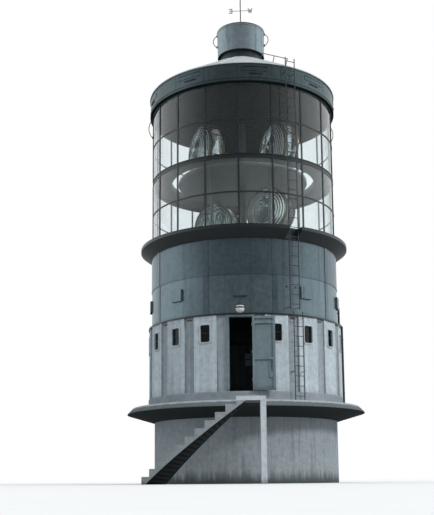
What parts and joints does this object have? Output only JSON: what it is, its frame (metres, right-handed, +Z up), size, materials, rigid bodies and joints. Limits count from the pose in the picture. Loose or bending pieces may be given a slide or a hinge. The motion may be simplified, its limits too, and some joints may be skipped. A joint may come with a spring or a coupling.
{
  "type": "lighthouse",
  "caption": "Low round lighthouse with a wide glazed lantern, riveted steel drum, concrete base, curved stair, ladders, hinged door and a revolving stepped-lens optic.",
  "frame": {"origin": "centre of the pedestal's foot, at ground level", "axes": "+Z up the tower's axis; the door faces -Y; the stair comes up round the -X side"},
  "size_m": [7.8598, 8.8299, 17.796],
  "materials": {
    "concrete_wall": "cast concrete, weathered",
    "pale_concrete": "cast concrete, trowelled",
    "drum_steel": "weathered paint",
    "dark_steel": "weathered paint",
    "galvanised": "worn paint",
    "lantern_glass": "clear",
    "optic_green": "gloss paint",
    "lens_brass": "dull",
    "lens_glass": "polished prisms",
    "lamp_glass": "clear"
  },
  "bodies": {
    "tower": {"pedestal": "concrete_wall", "plinth": "concrete_wall", "drum_wall_front_left": "concrete_wall", "drum_wall_front_right": "concrete_wall", "drum_wall_left": "concrete_wall", "drum_wall_right": "concrete_wall", "drum_wall_back": "concrete_wall", "gallery_slab": "pale_concrete", "ground_floor": "pale_concrete", "stair_flight": "pale_concrete", "stair_landing": "pale_concrete", "landing_post": "pale_concrete", "ledge_ring": "drum_steel", "lower_plates": "drum_steel", "upper_plates": "drum_steel", "plate_covers": "drum_steel", "vent_hoods": "drum_steel", "door_frame": "drum_steel", "cornice_plates": "drum_steel", "roof_cone": "drum_steel", "ventilator_neck": "drum_steel", "ventilator_cowl": "drum_steel", "lantern_gallery": "dark_steel", "lantern_floor": "dark_steel", "lantern_walkway": "dark_steel", "lantern_ceiling": "dark_steel", "lantern_mullions": "dark_steel", "sill_ring": "dark_steel", "lower_ring": "dark_steel", "storey_band": "dark_steel", "upper_ring": "dark_steel", "head_ring": "dark_steel", "optic_bearing": "dark_steel", "door_lamp_bracket": "dark_steel", "upper_ladder": "galvanised", "lower_ladder": "galvanised", "roof_rail": "galvanised", "grab_hoops": "galvanised", "rainwater_pipe": "galvanised", "compass_rod": "galvanised", "door_hinge_pins": "galvanised", "glass_tier_1": "lantern_glass", "glass_tier_2": "lantern_glass", "glass_tier_3": "lantern_glass", "glass_tier_4": "lantern_glass", "window_panes": "lantern_glass", "door_lamp_globe": "lantern_glass"},
    "door": {"door_leaf": "drum_steel", "door_handle": "galvanised"},
    "optic": {"optic_tables": "optic_green", "optic_column": "optic_green", "lens_cages": "lens_brass", "lower_lenses": "lens_glass", "upper_lenses": "lens_glass", "optic_lamps": "lamp_glass"}
  },
  "joints": [
    {"name": "door_hinge", "type": "hinge", "parent": "tower", "child": "door", "pos_m": [0.352, -3.23424, 3.9], "axis": [0, 0, 1], "range_deg": [-180, 0]},
    {"name": "optic_spin", "type": "hinge", "parent": "tower", "child": "optic", "pos_m": [0, 0, 7.855], "axis": [0, 0, 1], "continuous": true}
  ]
}
